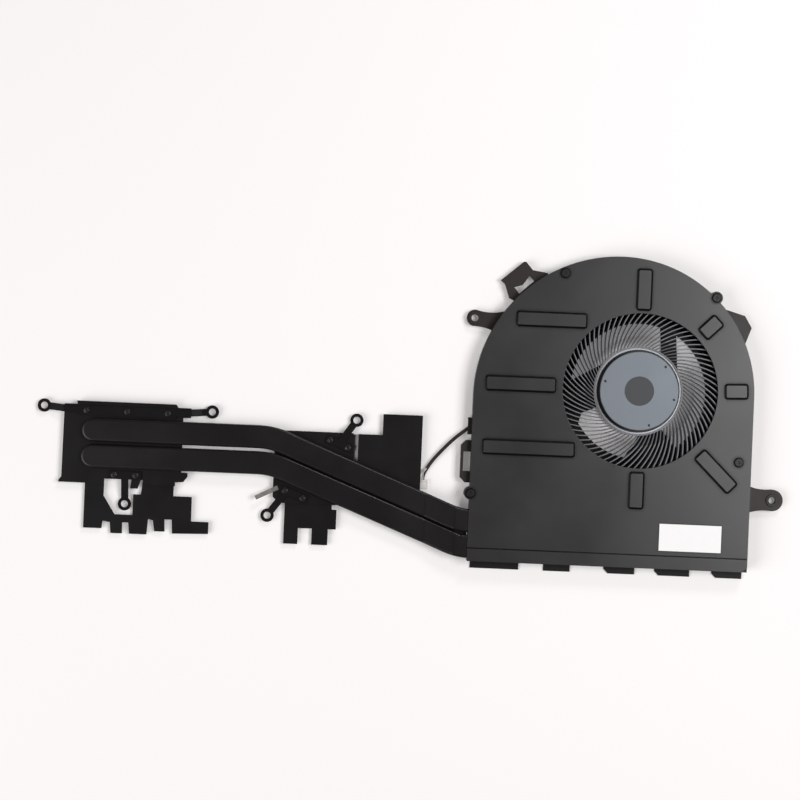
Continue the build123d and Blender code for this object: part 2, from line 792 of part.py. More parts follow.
def pressed_sheet(plan, thickness, start, end, bends):
    """Return a sheet of the given plan, bent in the upright plane through start and end.

    Each bend is a distance from start along that plane and the height of the underside there.
    """
    along = (Vector(*end, 0) - Vector(*start, 0)).normalized()
    side_view = Plane(origin=(*start, 0), x_dir=along, z_dir=(along.Y, -along.X, 0))
    upper = [(distance, height + thickness) for distance, height in reversed(bends)]
    with BuildPart() as sheet:
        with BuildSketch():
            add(plan)
        extrude(amount=cover_top)
        with BuildSketch(side_view):
            with BuildLine():
                Polyline(*bends, *upper, close=True)
            make_face()
        extrude(amount=-pipe_left_x, both=True, mode=Mode.INTERSECT)
    return sheet.part


def ring_arm(root, ring):
    """Return the plan of a spring arm that ends in a ring."""
    with BuildSketch() as arm:
        with BuildLine():
            Line(root, ring)
        trace(line_width=arm_w)
        with Locations(ring):
            Circle(ring_r)
    return arm.sketch


def rivets(places):
    """Return rivets through a leaf and the carrier plate, as separate solids."""
    with BuildPart() as group:
        with BuildSketch(Plane.XY.offset(block_pipe_z + leaf_t)):
            with Locations(*places):
                Circle(rivet_head_r)
        extrude(amount=rivet_head_t)
        with BuildSketch(Plane.XY.offset(carrier_z)):
            with Locations(*places):
                Circle(rivet_r)
        extrude(amount=carrier_t + leaf_t)
    return group.part


# Processor block: copper plate, black carrier plate, two spring leaves and a side sheet
cpu_flange_left = -205.2
cpu_flange_right = -169.0
cpu_flange_t = 0.5
cpu_flange_h = 1.5
cpu_flange_slope = 0.8
cpu_shoulder_y = -13.2
cpu_notch_left = -194.5
cpu_notch_right = -180.1
cpu_notch_y = -40.2
# Corners of the carrier plate: low on the right, low on the left, and a tab in the notch
cpu_heel = ((-163.9, -36.9), (-163.9, -38.3), (-165.4, -40.3), (-168.4, -40.5))
cpu_toe = ((-211.1, -42.0), (-211.1, -41.2), (-210.1, -40.0))
cpu_notch_tab = ((-181.0, -40.2), (-182.0, -43.4), (-184.7, -43.4), (-184.3, -40.2))
cpu_rivets = [(cpu_x + step * cpu_rivet_step, cpu_leaf_y) for step in (-1, 0, 1)]
cpu_rivets += [(cpu_x + step * cpu_low_rivet_step, cpu_low_rivet_y) for step in (-1, 1)]

with BuildPart() as cpu_cold_plate:
    with BuildSketch(Plane.XY.offset(pedestal_t)):
        with Locations((cpu_x, cpu_copper_y)):
            RectangleRounded(*cpu_copper, copper_corner)
    extrude(amount=copper_t)
    with BuildSketch():
        with Locations((cpu_x, cpu_copper_y)):
            Rectangle(*cpu_pedestal)
    extrude(amount=pedestal_t)
cpu_cold_plate.part.label = "cpu_cold_plate"
export_step(cpu_cold_plate.part, "parts/cpu_cold_plate.step")

with BuildPart() as cpu_carrier:
    with BuildSketch(Plane.XY.offset(carrier_z)):
        with BuildLine():
            Polyline(
                (cpu_plate_left, cpu_shoulder_y),
                (cpu_flange_left, cpu_shoulder_y),
                (cpu_flange_left, cpu_plate_top),
                (cpu_flange_right, cpu_plate_top),
                (cpu_flange_right + cpu_flange_slope, cpu_shoulder_y),
                (cpu_tab_right, cpu_shoulder_y),
                (cpu_tab_right, cpu_tab_bottom),
                (cpu_plate_right, cpu_tab_bottom),
                (cpu_plate_right, cpu_heel[0][1]),
                *cpu_heel,
                (cpu_heel[-1][0], cpu_plate_bottom),
                (cpu_notch_right, cpu_plate_bottom),
                (cpu_notch_right, cpu_notch_y),
                *cpu_notch_tab,
                (cpu_notch_left, cpu_notch_y),
                (cpu_notch_left, cpu_plate_bottom),
                *cpu_toe,
                close=True,
            )
        make_face()
        with Locations(*cpu_rivets):
            Circle(rivet_r, mode=Mode.SUBTRACT)
    extrude(amount=carrier_t)
    # Stiffening flange, turned up along the far edge
    with BuildSketch(Plane.XY.offset(carrier_z)):
        with Locations(((cpu_flange_left + cpu_flange_right) / 2,
                        cpu_plate_top - cpu_flange_t / 2)):
            Rectangle(cpu_flange_right - cpu_flange_left, cpu_flange_t)
    extrude(amount=cpu_flange_h)
cpu_carrier.part.label = "cpu_carrier_plate"
export_step(cpu_carrier.part, "parts/cpu_carrier_plate.step")

left_ring = (cpu_x - cpu_ring_reach, cpu_top_ring_y)
right_ring = (cpu_x + cpu_ring_reach, cpu_top_ring_y)
with BuildSketch() as cpu_leaf_plan:
    with Locations((cpu_x, cpu_leaf_y)):
        Rectangle(2 * cpu_leaf_half, cpu_leaf_w)
    add(ring_arm((cpu_x - cpu_leaf_half, cpu_leaf_y), left_ring))
    add(ring_arm((cpu_x + cpu_leaf_half, cpu_leaf_y), right_ring))
    with Locations(left_ring, right_ring):
        Circle(ring_hole_r, mode=Mode.SUBTRACT)
    with Locations(*cpu_rivets[:3]):
        Circle(rivet_r, mode=Mode.SUBTRACT)
arm_clear = 0.3         # a leaf starts to drop this far outside the carrier plate
cpu_leaf_bends = [
    (left_ring[0] - ring_r, ring_z),
    (left_ring[0] + ring_r, ring_z),
    (cpu_plate_left - arm_clear, block_pipe_z),
    (cpu_tab_right + arm_clear, block_pipe_z),
    (right_ring[0] - ring_r - arm_w / 2, ring_z),
    (right_ring[0] + ring_r, ring_z),
]
cpu_top_leaf = pressed_sheet(cpu_leaf_plan.sketch, leaf_t, (0, 0), (1, 0), cpu_leaf_bends)
cpu_top_leaf.label = "cpu_top_spring"
export_step(cpu_top_leaf, "parts/cpu_top_spring.step")

cpu_low_ring = (cpu_x, cpu_low_ring_y)
cpu_low_bar = (11.8, 3.0)
with BuildSketch() as cpu_low_leaf_plan:
    with Locations((cpu_x, cpu_low_rivet_y)):
        Rectangle(*cpu_low_bar)
    add(ring_arm((cpu_x, cpu_low_rivet_y), cpu_low_ring))
    with Locations(cpu_low_ring):
        Circle(ring_hole_r, mode=Mode.SUBTRACT)
    with Locations(*cpu_rivets[3:]):
        Circle(rivet_r, mode=Mode.SUBTRACT)
cpu_low_leaf_bends = [
    (-cpu_low_bar[1], block_pipe_z),
    (cpu_low_rivet_y - cpu_notch_y + arm_clear, block_pipe_z),
    (cpu_low_rivet_y - cpu_low_ring_y - ring_r, ring_z),
    (cpu_low_rivet_y - cpu_low_ring_y + ring_r, ring_z),
]
cpu_low_leaf = pressed_sheet(cpu_low_leaf_plan.sketch, leaf_t, (cpu_x, cpu_low_rivet_y),
                             cpu_low_ring, cpu_low_leaf_bends)
cpu_low_leaf.label = "cpu_lower_spring"
export_step(cpu_low_leaf, "parts/cpu_lower_spring.step")

cpu_rivet_group = rivets(cpu_rivets)
cpu_rivet_group.label = "cpu_rivets"
export_step(cpu_rivet_group, "parts/cpu_rivets.step")

# Thin sheet below the processor block, with its feet and the window round the lower ring
skirt_top = -40.0
skirt_left = -201.5
skirt_right = -168.9
# Lower edge of the sheet, from its left corner over the feet to the block on the right
skirt_feet = (
    (skirt_left, -58.5), (-194.8, -58.5), (-194.5, -55.7), (-191.8, -56.1), (-191.4, -60.1),
    (-187.2, -60.1), (-187.3, -56.0), (-185.0, -56.0), (-184.6, -60.1), (-178.2, -60.1),
    (-177.8, -54.3), (-176.0, -54.9), (-175.4, -58.8), (-171.6, -58.8), (-171.8, -54.3),
    (-169.1, -54.3), (-168.8, -59.4),
)
skirt_block = (
    (-155.6, -59.0), (-155.6, -54.7), (-162.0, -54.7), (-162.1, -45.7), (skirt_right, -45.7),
)
skirt_window = ((-180.8, -45.6), (-183.6, -45.6), (-183.6, -53.2), (-190.2, -53.2), (-194.5, -46.5))
with BuildPart() as skirt:
    with BuildSketch(Plane.XY.offset(sheet_z)):
        with BuildLine():
            Polyline((skirt_left, skirt_top), *skirt_feet, *skirt_block, (skirt_right, skirt_top),
                     close=True)
        make_face()
        # The window's upper edge lies beyond the sheet's, so that it is open at the carrier plate
        with BuildLine():
            Polyline((cpu_notch_left, cpu_low_rivet_y), (cpu_notch_right, cpu_low_rivet_y),
                     *skirt_window, close=True)
        make_face(mode=Mode.SUBTRACT)
    extrude(amount=sheet_t)
skirt.part.label = "cpu_side_sheet"
export_step(skirt.part, "parts/cpu_side_sheet.step")

# Graphics block
gpu_middle = ((gpu_left + gpu_right) / 2, (gpu_top + gpu_bottom) / 2)
pipe_slope = degrees(atan2(upper_pipe_right_y - upper_pipe_left_y,
                           pipe_bend_right_x - pipe_bend_left_x))


def bar_rivets(bar):
    """Return the two rivet places on a bar that lies along the pipes."""
    x_step = gpu_rivet_step * cos(radians(pipe_slope))
    y_step = gpu_rivet_step * sin(radians(pipe_slope))
    return [(bar[0] - x_step, bar[1] - y_step), (bar[0] + x_step, bar[1] + y_step)]


gpu_rivets = bar_rivets(gpu_upper_bar) + bar_rivets(gpu_lower_bar)

with BuildPart() as gpu_cold_plate:
    with BuildSketch(Plane.XY.offset(pedestal_t)):
        with Locations(gpu_middle):
            RectangleRounded(*gpu_copper, copper_corner)
    extrude(amount=copper_t)
    with BuildSketch():
        with Locations(gpu_middle):
            Rectangle(*gpu_pedestal)
    extrude(amount=pedestal_t)
gpu_cold_plate.part.label = "gpu_cold_plate"
export_step(gpu_cold_plate.part, "parts/gpu_cold_plate.step")

with BuildPart() as gpu_carrier:
    with BuildSketch(Plane.XY.offset(carrier_z)):
        with BuildLine():
            Polyline(
                (gpu_left, gpu_top),
                (gpu_right, gpu_top),
                (gpu_right, gpu_bottom),
                (gpu_left + gpu_corner, gpu_bottom),
                (gpu_left, gpu_bottom + gpu_corner),
                close=True,
            )
        make_face()
        with Locations(*gpu_rivets):
            Circle(rivet_r, mode=Mode.SUBTRACT)
    extrude(amount=carrier_t)
gpu_carrier.part.label = "gpu_carrier_plate"
export_step(gpu_carrier.part, "parts/gpu_carrier_plate.step")


def gpu_leaf(bar, root, ring, edge_y):
    """Return a spring leaf: a bar along the pipes, and an arm that drops past edge_y to a ring."""
    reach = hypot(ring[0] - root[0], ring[1] - root[1])
    sideways = arm_w / 2 * abs(ring[0] - root[0]) / reach
    drop_start = (abs(edge_y - root[1]) + sideways) * reach / abs(ring[1] - root[1]) + arm_clear
    with BuildSketch() as plan:
        with Locations(bar):
            Rectangle(gpu_bar_l, gpu_bar_w, rotation=pipe_slope)
        add(ring_arm(root, ring))
        with Locations(ring):
            Circle(ring_hole_r, mode=Mode.SUBTRACT)
        with Locations(*bar_rivets(bar)):
            Circle(rivet_r, mode=Mode.SUBTRACT)
    bends = [(-gpu_bar_l, block_pipe_z), (drop_start, block_pipe_z),
             (reach - ring_r, ring_z), (reach + ring_r, ring_z)]
    return pressed_sheet(plan.sketch, leaf_t, root, ring, bends)


gpu_upper_leaf = gpu_leaf(gpu_upper_bar, gpu_upper_bar, gpu_upper_ring, gpu_top)
gpu_upper_leaf.label = "gpu_upper_spring"
export_step(gpu_upper_leaf, "parts/gpu_upper_spring.step")

gpu_lower_leaf = gpu_leaf(gpu_lower_bar, gpu_lower_root, gpu_lower_ring, gpu_bottom)
gpu_lower_leaf.label = "gpu_lower_spring"
export_step(gpu_lower_leaf, "parts/gpu_lower_spring.step")

gpu_rivet_group = rivets(gpu_rivets)
gpu_rivet_group.label = "gpu_rivets"
export_step(gpu_rivet_group, "parts/gpu_rivets.step")

# Side sheet: its tongue steps down under the carrier plate, its strip runs under both pipes
strip_half_w = 2.5
strip_play = 0.05       # under the pipes where they bend level again
strip_end_gap = 0.5     # to the fan's wall


def pipe_gap_y(x):
    """Return where the gap between the sloping pipes lies at x."""
    middle = (upper_pipe_left_y + lower_pipe_left_y) / 2
    return middle + (x - pipe_bend_left_x) * tan(radians(pipe_slope))


strip_right = wall_left - strip_end_gap
side_tongue_bottom = pipe_gap_y(side_sheet_left) - strip_half_w
with BuildSketch() as side_plan:
    with BuildLine():
        Polyline(
            (side_sheet_left, side_sheet_step),
            (side_sheet_step_x, side_sheet_step),
            (side_sheet_step_x, side_sheet_top),
            (side_sheet_right, side_sheet_top),
            (side_sheet_right, pipe_gap_y(side_sheet_right)),
            (side_sheet_left, pipe_gap_y(side_sheet_left)),
            close=True,
        )
    make_face()
    with BuildLine():
        Polyline(
            (side_sheet_left, pipe_gap_y(side_sheet_left) + strip_half_w),
            (strip_right, pipe_gap_y(strip_right) + strip_half_w),
            (strip_right, pipe_gap_y(strip_right) - strip_half_w),
            (side_sheet_left, pipe_gap_y(side_sheet_left) - strip_half_w),
            close=True,
        )
    make_face()
    with Locations(((side_tongue_left + side_sheet_left) / 2,
                    (side_tongue_top + side_tongue_bottom) / 2)):
        Rectangle(side_sheet_left - side_tongue_left, side_tongue_top - side_tongue_bottom)
side_bends = [
    (side_tongue_left, sheet_z),
    (side_sheet_left - side_tongue_slope, sheet_z),
    (side_sheet_left, block_pipe_z - sheet_t),
    (rise_start_x, block_pipe_z - sheet_t),
    (rise_end_x, fan_pipe_z - sheet_t - strip_play),
    (strip_right, fan_pipe_z - sheet_t - strip_play),
]
side_sheet = pressed_sheet(side_plan.sketch, sheet_t, (0, 0), (1, 0), side_bends)
side_sheet.label = "gpu_side_sheet"
export_step(side_sheet, "parts/gpu_side_sheet.step")

# Lower sheet with two feet, and a notch at its upper right corner
low_sheet_top = -44.6
low_sheet_left = -127.9
low_sheet_right = -108.8
low_sheet_y = -55.4
low_foot_y = -61.3
low_feet = ((low_sheet_left, -122.7), (-117.6, -111.7))
low_notch = (1.8, -48.2)    # its width, and where its lower edge lies
with BuildPart() as low_sheet:
    with BuildSketch(Plane.XY.offset(sheet_z)):
        with BuildLine():
            Polyline(
                (low_sheet_left, low_sheet_top),
                (low_sheet_left, low_sheet_y),
                (low_sheet_right, low_sheet_y),
                (low_sheet_right, low_notch[1]),
                (low_sheet_right - low_notch[0], low_notch[1]),
                (low_sheet_right - low_notch[0], low_sheet_top),
                close=True,
            )
        make_face()
        for start, end in low_feet:
            with Locations(((start + end) / 2, (low_sheet_top + low_foot_y) / 2)):
                Rectangle(end - start, low_sheet_top - low_foot_y)
    extrude(amount=sheet_t)
low_sheet.part.label = "gpu_lower_sheet"
export_step(low_sheet.part, "parts/gpu_lower_sheet.step")

# Springy ground finger on the graphics carrier plate
finger_root = (-130.6, -40.8)
finger_tip = (-138.6, -44.8)
finger_w = 1.6
finger_t = 0.2
finger_lift = 0.8
finger_seat = 2.6
finger_l = hypot(finger_tip[0] - finger_root[0], finger_tip[1] - finger_root[1])
with BuildSketch() as finger_plan:
    with BuildLine():
        Line(finger_root, finger_tip)
    trace(line_width=finger_w)
finger_bends = [
    (0, block_pipe_z),
    (finger_seat, block_pipe_z),
    (finger_l, block_pipe_z + finger_lift),
]
finger = pressed_sheet(finger_plan.sketch, finger_t, finger_root, finger_tip, finger_bends)
finger.label = "ground_finger"
export_step(finger, "parts/ground_finger.step")
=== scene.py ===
"""Dress a laptop cooling module in Blender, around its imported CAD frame.

Every length is in metres and every piece stands in the frame of the CAD model: the origin on the
fan's spin axis, X along the module, Y away from the outlet and Z up out of the laptop.
"""
import math

import bmesh
import bpy
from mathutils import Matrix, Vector


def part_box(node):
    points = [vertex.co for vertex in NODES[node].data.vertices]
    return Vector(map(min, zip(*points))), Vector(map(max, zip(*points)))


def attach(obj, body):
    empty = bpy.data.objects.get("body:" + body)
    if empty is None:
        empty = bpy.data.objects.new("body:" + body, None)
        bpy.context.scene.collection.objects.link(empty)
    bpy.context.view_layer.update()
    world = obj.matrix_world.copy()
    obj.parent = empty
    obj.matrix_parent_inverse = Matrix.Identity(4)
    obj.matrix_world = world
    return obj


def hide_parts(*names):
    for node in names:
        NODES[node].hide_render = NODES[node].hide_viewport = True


bl_info = {
    "name": "Laptop Cooling Module",
    "version": (1, 0, 0),
    "blender": (4, 5, 0),
    "location": "3D Viewport > Sidebar > Cooling",
    "description": "Finishes, fasteners and cable of a laptop cooling module",
    "category": "Object",
}

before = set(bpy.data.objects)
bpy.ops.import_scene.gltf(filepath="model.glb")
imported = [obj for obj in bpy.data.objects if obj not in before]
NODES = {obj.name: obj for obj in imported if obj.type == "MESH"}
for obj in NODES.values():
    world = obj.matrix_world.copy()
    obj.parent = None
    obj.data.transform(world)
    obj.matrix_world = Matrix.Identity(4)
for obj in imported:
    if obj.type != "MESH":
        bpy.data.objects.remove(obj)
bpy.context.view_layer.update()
MM = 0.001
HOUSING = "housing"

# Places that tell the faces of a CAD node apart
RIB_HEIGHT = 0.5 * MM
COVER_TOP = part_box("fan_cover")[1][2] - RIB_HEIGHT      # the cover's flat, between its ribs
CUP_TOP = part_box("rotor_cup")[1][2]
CUP_WALL_TOP = CUP_TOP - 0.35 * MM      # the cup's wall and the groove at its foot lie below
MARK_FLOOR = (CUP_TOP - 0.2 * MM, CUP_TOP - 0.05 * MM)      # the balancing marks end in here
CUP_LIP_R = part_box("rotor_cup")[1][0] - 0.6 * MM        # the cup's lip lies outside this
RIVET_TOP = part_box("cpu_rivets")[1][2]
RIVET_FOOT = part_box("cpu_rivets")[0][2]
SHEET_BEND_X = -90 * MM     # the side sheet's bend lies on the far side of this
FACING = 0.9        # a face looks along an axis if its normal has at least this much of it
COVER_LEVEL = 0.97      # the cover's slopes and cut edges have a smaller upright part
BEND_SLOPES = (0.5, 0.99)       # the bend's faces have an upright part between these

# The painted foot shade is darkest where a point sees the first share of open sky, and plain from
# the second
FOOT_SHADE_SKY = (0.84, 0.97)
FOOT_SHADE_COLOUR = "#050505"
FOOT_SHADE_SPECULAR = 0.05


def linear(colour):
    """Turn an sRGB hex colour into linear red, green, blue and alpha."""
    channels = [int(colour[i:i + 2], 16) / 255 for i in (1, 3, 5)]
    return (*[c / 12.92 if c <= 0.04045 else ((c + 0.055) / 1.055) ** 2.4 for c in channels], 1.0)


def colour_prop(name, description, colour):
    """Return a colour property with an sRGB hex default."""
    return bpy.props.FloatVectorProperty(
        name=name, description=description, default=linear(colour), size=4,
        subtype="COLOR", min=0.0, max=1.0)


def length_prop(name, description, default):
    """Return a length property, in metres."""
    return bpy.props.FloatProperty(name=name, description=description, default=default,
                                   min=0.0, unit="LENGTH", precision=5)


def angle_prop(name, description, degrees):
    """Return an angle property with a default in degrees."""
    return bpy.props.FloatProperty(name=name, description=description,
                                   default=math.radians(degrees), subtype="ANGLE")


def power_prop(name, description, watts):
    """Return a property for a lamp's power."""
    return bpy.props.FloatProperty(name=name, description=description, default=watts,
                                   min=0.0, unit="POWER")


def add_node(tree, kind, inputs=None, **settings):
    """Add a shader node, apply its settings, and set or link its inputs."""
    node = tree.nodes.new(kind)
    for key, value in settings.items():
        setattr(node, key, value)
    for key, value in (inputs or {}).items():
        if isinstance(value, bpy.types.NodeSocket):
            tree.links.new(value, node.inputs[key])
        else:
            node.inputs[key].default_value = value
    return node


def shade(colour, factor):
    """Return a linear colour made lighter or darker."""
    return (*[min(1.0, channel * factor) for channel in colour[:3]], 1.0)


def surface(name, colour, roughness, metallic=0.0, patch=14 * MM, contrast=0.12, grain=0.3 * MM,
            grain_height=0.01 * MM, edge=0.15 * MM, specular=0.5):
    """Return a material with cloudy colour, uneven gloss, fine grain and softened edges.

    The real grains are about 0.05 mm wide and wouldn't show, so they are drawn coarser.
    """
    material = bpy.data.materials.new(name)
    material.use_nodes = True
    tree = material.node_tree
    tree.nodes.clear()
    place = add_node(tree, "ShaderNodeTexCoord").outputs["Object"]
    clouds = add_node(tree, "ShaderNodeTexNoise",
                      {"Vector": place, "Scale": 1 / patch, "Detail": 4.0, "Roughness": 0.55})
    tone = add_node(tree, "ShaderNodeMix",
                    {"Factor": clouds.outputs["Fac"], 6: shade(colour, 1 - contrast),
                     7: shade(colour, 1 + contrast)}, data_type="RGBA")
    gloss = add_node(tree, "ShaderNodeMapRange",
                     {"Value": clouds.outputs["Fac"], "From Min": 0.3, "From Max": 0.7,
                      "To Min": roughness - 0.05, "To Max": roughness + 0.05})
    fine = add_node(tree, "ShaderNodeTexNoise",
                    {"Vector": place, "Scale": 1 / grain, "Detail": 2.0, "Roughness": 0.6})
    round_edge = add_node(tree, "ShaderNodeBevel", {"Radius": edge}, samples=4)
    bump = add_node(tree, "ShaderNodeBump",
                    {"Height": fine.outputs["Fac"], "Distance": grain_height, "Strength": 1.0,
                     "Normal": round_edge.outputs["Normal"]})
    shader = add_node(tree, "ShaderNodeBsdfPrincipled",
                      {"Base Color": tone.outputs[2], "Roughness": gloss.outputs["Result"],
                       "Metallic": metallic, "Normal": bump.outputs["Normal"],
                       "Specular IOR Level": specular})
    shader.name = "Surface"
    tone.name = "Tone"
    bump.name = "Relief"
    add_node(tree, "ShaderNodeOutputMaterial", {"Surface": shader.outputs["BSDF"]})
    return material


def ring_wave(tree, pitch):
    """Return a wave that runs out from the spin axis, with one crest in each pitch."""
    place = add_node(tree, "ShaderNodeTexCoord").outputs["Object"]
    flat = add_node(tree, "ShaderNodeVectorMath", {0: place, 1: (1.0, 1.0, 0.0)},
                    operation="MULTIPLY")
    radius = add_node(tree, "ShaderNodeVectorMath", {0: flat.outputs["Vector"]},
                      operation="LENGTH")
    turns = add_node(tree, "ShaderNodeMath",
                     {0: radius.outputs["Value"], 1: 2 * math.pi / pitch}, operation="MULTIPLY")
    wave = add_node(tree, "ShaderNodeMath", {0: turns.outputs["Value"]}, operation="SINE")
    return wave.outputs["Value"]


def add_turned_rings(material, pitch, height):
    """Cut fine rings round the spin axis into a surface, as a lathe tool leaves them."""
    tree = material.node_tree
    rings = add_node(tree, "ShaderNodeBump",
                     {"Height": ring_wave(tree, pitch), "Distance": height, "Strength": 1.0,
                      "Normal": tree.nodes["Relief"].outputs["Normal"]})
    tree.links.new(rings.outputs["Normal"], tree.nodes["Surface"].inputs["Normal"])


def add_windings_with_painted_shade(material, pitch, copper):
    """Draw wire turns across a coil, with painted shade between the wires."""
    tree = material.node_tree
    tone = add_node(tree, "ShaderNodeMix",
                    {"Factor": ring_wave(tree, pitch), 6: shade(copper, 0.35), 7: copper},
                    data_type="RGBA", clamp_factor=True)
    tree.links.new(tone.outputs[2], tree.nodes["Surface"].inputs["Base Color"])


def paint_foot_shade(material, reach):
    """Paint shade along the foot of each raised form, darker and less shiny where the surface sees
    less open sky.
    """
    tree = material.node_tree
    shader = tree.nodes["Surface"]
    hollow = add_node(tree, "ShaderNodeAmbientOcclusion", {"Distance": reach}, samples=8)
    sky = {"Value": hollow.outputs["AO"], "From Min": FOOT_SHADE_SKY[0], "From Max": FOOT_SHADE_SKY[1]}
    tone = add_node(tree, "ShaderNodeMapRange", sky)
    colour = add_node(tree, "ShaderNodeMix",
                      {"Factor": tone.outputs["Result"], 6: linear(FOOT_SHADE_COLOUR),
                       7: tree.nodes["Tone"].outputs[2]}, data_type="RGBA")
    shine = add_node(tree, "ShaderNodeMapRange",
                     {**sky, "To Min": FOOT_SHADE_SPECULAR,
                      "To Max": shader.inputs["Specular IOR Level"].default_value})
    tree.links.new(colour.outputs[2], shader.inputs["Base Color"])
    tree.links.new(shine.outputs["Result"], shader.inputs["Specular IOR Level"])


def finish_nodes(material, *names):
    """Give CAD nodes a material."""
    for name in names:
        mesh = NODES[name].data
        mesh.materials.clear()
        mesh.materials.append(material)


def finish_faces(material, name, test):
    """Give another material to the faces of a CAD node whose centre and normal pass a test."""
    mesh = NODES[name].data
    mesh.materials.append(material)
    for face in mesh.polygons:
        if test(face.center, face.normal):
            face.material_index = len(mesh.materials) - 1


class FinishSettings(bpy.types.PropertyGroup):
    """Colours of the coats, plastics and metals."""

    cover: colour_prop("Cover", "Black coat of the stamped cover", "#1b1a1b")
    plate: colour_prop("Plates", "Black coat of the plates, pipes and springs", "#110f10")
    plastic: colour_prop("Frame", "Moulded black plastic of the fan's frame", "#1d1314")
    blade: colour_prop("Impeller", "Moulded grey plastic of the blades", "#6e7074")
    cup: colour_prop("Rotor cup", "Blue-grey steel of the rotor cup", "#71787f")
    # The lip's pale colour is partly its turned finish and partly a painted highlight
    lip: colour_prop("Foot of the cup", "Bright turned edge round the rotor cup", "#b4b6bd")
    disc: colour_prop("Centre disc", "Grey disc on the rotor cup", "#46484b")
    label: colour_prop("Label", "Bare white paper", "#f6f6f6")
    copper: colour_prop("Copper", "Milled copper plates", "#c87f5a")
    finger: colour_prop("Ground finger", "Thin plated spring strip", "#8c8885")
    cable: colour_prop("Cable", "Black sleeve of the fan cable", "#171617")
    wire: colour_prop("Wires", "Pale insulation of the loose wires", "#b4b1ae")
    plug: colour_prop("Plug", "Moulded white plug of the cable", "#d9d6d3")


class FastenerSettings(bpy.types.PropertyGroup):
    """Sizes of the screws and rivets."""

    screw_head_radius: length_prop("Screw head", "Radius of a cover screw's head", 1.5 * MM)
    screw_head_height: length_prop("Screw height", "Height of a cover screw's head", 0.5 * MM)
    screw_radius: length_prop("Screw shank", "Radius of a cover screw's shank", 0.8 * MM)
    rivet_head_radius: length_prop("Rivet head", "Radius of a rivet's head", 1.1 * MM)
    rivet_head_height: length_prop("Rivet height", "Height of a rivet's head", 0.4 * MM)
    rivet_radius: length_prop("Rivet shank", "Radius of a rivet's shank", 0.6 * MM)


class CableSettings(bpy.types.PropertyGroup):
    """Sizes of the fan cable."""

    diameter: length_prop("Sleeve", "Diameter of the cable's sleeve", 1.3 * MM)
    wire: length_prop("Wire", "Diameter of one wire in the sleeve", 0.4 * MM)
    length: length_prop("Length", "Length of the cable from the frame's slot to its plug",
                        33.2 * MM)


class StageSettings(bpy.types.PropertyGroup):
    """Camera, lamps and table."""

    camera_height: length_prop("Camera height", "Height of the camera over the table", 0.54)
    roll: angle_prop("Roll", "Turn of the camera about its view", 2.4)
    field: angle_prop("Field of view", "Angle that the camera sees", 30.5)
    key: power_prop("Key lamp", "Power of the soft lamp on the right", 4.7)
    fill: power_prop("Fill lamp", "Power of the soft lamp behind", 1.7)
    left: power_prop("Left lamp", "Power of the soft lamp on the left", 5.4)
    sky: bpy.props.FloatProperty(name="Room", description="Brightness of the room all round",
                                 default=0.17, min=0.0)
    room: colour_prop("Room colour", "Warm white walls of the room", "#fff3f0")
    floor: colour_prop("Table", "White table", "#fdfbfb")
    glow: colour_prop("Table glow", "White that the table shows by itself", "#fffcfc")


def deselect_all():
    """Leave object mode with nothing selected, so that an operator acts on new work alone."""
    if bpy.context.object and bpy.context.object.mode != "OBJECT":
        bpy.ops.object.mode_set(mode="OBJECT")
    bpy.ops.object.select_all(action="DESELECT")


def select_faces(test):
    """Select the faces of the mesh in edit mode that pass a test, and no others."""
    mesh = bmesh.from_edit_mesh(bpy.context.object.data)
    for face in mesh.faces:
        face.select_set(bool(test(face)))
    bmesh.update_edit_mesh(bpy.context.object.data)


def apply_modifier(piece, kind, **settings):
    """Add a modifier to the active piece and apply it."""
    modifier = piece.modifiers.new(kind.title(), kind)
    for key, value in settings.items():
        setattr(modifier, key, value)
    bpy.ops.object.modifier_apply(modifier=modifier.name)


def round_edges(piece, width, segments):
    """Round the sharp edges of the active piece."""
    apply_modifier(piece, "BEVEL", width=width, segments=segments, limit_method="ANGLE",
                   angle_limit=math.radians(60))


def settle(piece, name, body, material):
    """Name a finished piece, move its place into its mesh and let it ride on its body."""
    deselect_all()
    piece.select_set(True)
    bpy.context.view_layer.objects.active = piece
    bpy.ops.object.transform_apply(location=True, rotation=True, scale=True)
    piece.name = name
    piece.data.name = name
    piece.data.materials.clear()
    piece.data.materials.append(material)
    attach(piece, body)


def node_centres(node):
    """Return the plan centre of each separate solid in a CAD node."""
    mesh = bmesh.new()
    mesh.from_mesh(NODES[node].data)
    bmesh.ops.remove_doubles(mesh, verts=mesh.verts, dist=1e-6)
    waiting = set(mesh.verts)
    centres = []
    while waiting:
        group = [waiting.pop()]
        for vert in group:
            for edge in vert.link_edges:
                other = edge.other_vert(vert)
                if other in waiting:
                    waiting.remove(other)
                    group.append(other)
        low = [min(vert.co[axis] for vert in group) for axis in (0, 1)]
        high = [max(vert.co[axis] for vert in group) for axis in (0, 1)]
        centres.append(((low[0] + high[0]) / 2, (low[1] + high[1]) / 2))
    mesh.free()
    return sorted(centres)


def round_head(radius, height, shank_radius, shank_length, sides):
    """Model a round head on a shank at the origin, its underside at z 0."""
    deselect_all()
    bpy.ops.mesh.primitive_cylinder_add(vertices=sides, radius=radius, depth=height,
                                        location=(0, 0, height / 2))
    head = bpy.context.object
    bpy.ops.object.transform_apply(location=True)
    bpy.ops.object.mode_set(mode="EDIT")
    select_faces(lambda face: face.normal.z < -FACING)
    bpy.ops.mesh.inset(thickness=radius - shank_radius, depth=0)
    bpy.ops.mesh.extrude_region_move(
        TRANSFORM_OT_translate={"value": (0, 0, -shank_length)})
    bpy.ops.object.mode_set(mode="OBJECT")
    return head


def place_copies(model, node, foot, name, material, turn=0.0):
    """Copy a fastener to each solid of a CAD node, each turned further than the last."""
    for index, (x, y) in enumerate(node_centres(node)):
        copy = model.copy()
        copy.data = model.data.copy()
        bpy.context.collection.objects.link(copy)
        copy.location = (x, y, foot)
        copy.rotation_euler = (0, 0, turn * index)
        settle(copy, f"{name}_{index + 1}", HOUSING, material)
        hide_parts(node)


